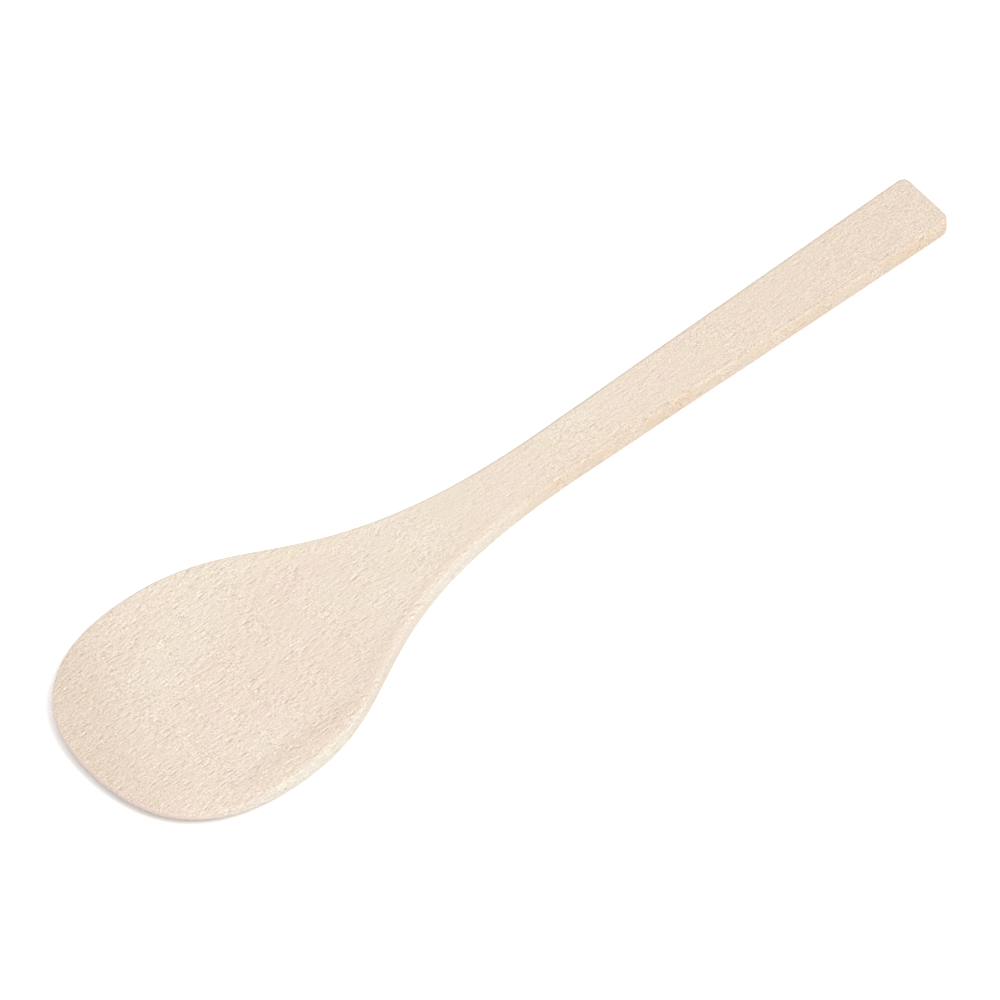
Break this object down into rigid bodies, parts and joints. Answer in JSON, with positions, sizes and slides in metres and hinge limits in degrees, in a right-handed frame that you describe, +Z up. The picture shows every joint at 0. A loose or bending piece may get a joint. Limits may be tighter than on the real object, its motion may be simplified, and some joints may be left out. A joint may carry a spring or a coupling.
{
  "type": "wooden spatula",
  "caption": "One-piece beech kitchen spatula with a broad egg-shaped, slightly dished blade, a thin lifted nose and a flat handle, for stirring, scraping and serving.",
  "frame": {"origin": "centre of the bounding box in plan, at the height of the flat underside", "axes": "+X with the grain from the blade's nose to the handle's end, +Y across the blade, +Z up out of the dished face"},
  "size_m": [0.3, 0.0764, 0.0075],
  "materials": {
    "beech": "fine-sanded and unoiled, matt"
  },
  "bodies": {
    "root": {"spatula": "beech"}
  },
  "joints": []
}
